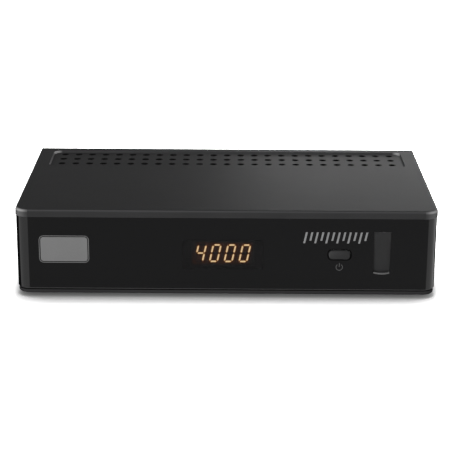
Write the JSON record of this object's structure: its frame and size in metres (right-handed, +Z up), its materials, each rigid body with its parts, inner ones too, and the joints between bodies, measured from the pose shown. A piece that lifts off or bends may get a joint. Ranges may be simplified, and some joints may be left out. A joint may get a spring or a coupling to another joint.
{
  "type": "satellite tv receiver",
  "caption": "Flat set-top satellite receiver with a glossy wrap-round front, lit numeric display, power key, ventilated roof and rear sockets.",
  "frame": {"origin": "on the surface the feet stand on, halfway across, midway between the front lip and the aerial connector's tip", "axes": "+X to the viewer's right, +Y from the front to the rear, +Z up"},
  "size_m": [0.22, 0.134, 0.048],
  "materials": {
    "cover_plastic": "fine spark-eroded texture",
    "base_plastic": "fine texture",
    "rear_plastic": "fine texture",
    "gloss_black": "polished",
    "smoked_window": "polished, smoked and see-through",
    "ir_plastic": "satin, passes infra-red",
    "key_plastic": "satin",
    "plunger_plastic": "moulded",
    "module_plastic": "moulded",
    "lit_amber": "diffusing, lit from behind",
    "unlit_grey": "diffusing",
    "board_green": "solder mask over copper tracks",
    "chip_black": "moulded epoxy",
    "tinned_steel": "tinned sheet",
    "nickel": "nickel plate",
    "screw_steel": "zinc plate",
    "heat_aluminium": "black anodised",
    "capacitor_can": "bare can",
    "ferrite": "pressed",
    "socket_black": "moulded",
    "socket_orange": "moulded",
    "dielectric_white": "moulded",
    "contact_gold": "gold flash",
    "silicone_pad": "soft",
    "foot_rubber": "matt"
  },
  "bodies": {
    "casing": {"top_cover": "cover_plastic", "bottom_case": "base_plastic", "rear_panel": "rear_plastic", "front_panel": "gloss_black", "display_window": "smoked_window", "ir_window": "ir_plastic", "key_switch": "socket_black", "display_module": "module_plastic", "lit_bars": "lit_amber", "unlit_bars": "unlit_grey", "ir_receiver": "chip_black", "front_board": "board_green", "board_header": "socket_black", "front_board_screws": "screw_steel", "main_board": "board_green", "board_screws": "screw_steel", "case_screws": "screw_steel", "feet": "foot_rubber", "tuner_can": "tinned_steel", "tuner_lid": "tinned_steel", "f_connector": "nickel", "f_insert": "dielectric_white", "f_washer": "nickel", "f_nut": "nickel", "usb_shell": "tinned_steel", "usb_insert": "socket_black", "lan_shell": "tinned_steel", "lan_insert": "socket_black", "hdmi_shell": "tinned_steel", "hdmi_insert": "socket_black", "audio_body": "socket_black", "audio_barrel": "nickel", "audio_core": "socket_orange", "av_jack": "socket_black", "dc_jack": "socket_black", "dc_pin": "nickel", "card_reader": "socket_black", "card_contacts": "contact_gold", "processor": "chip_black", "thermal_pad": "silicone_pad", "heat_sink": "heat_aluminium", "memory_chip": "chip_black", "flash_chip": "chip_black", "demodulator": "chip_black", "crystal": "tinned_steel", "lan_transformer": "chip_black", "capacitors": "capacitor_can", "inductors": "ferrite"},
    "key": {"power_key": "key_plastic"},
    "plunger": {"switch_plunger": "plunger_plastic"}
  },
  "joints": [
    {"name": "key_press", "type": "slide", "parent": "casing", "child": "key", "axis": [0, 1, 0], "range_m": [0, 0.0003], "stiffness_N_per_m": 1500, "springref_m": -0.0005},
    {"name": "plunger_press", "type": "slide", "parent": "casing", "child": "plunger", "axis": [0, 1, 0], "range_m": [0, 0.0003]}
  ],
  "couplings": [
    {"joint": "plunger_press", "follows": "key_press", "ratio": 1}
  ]
}
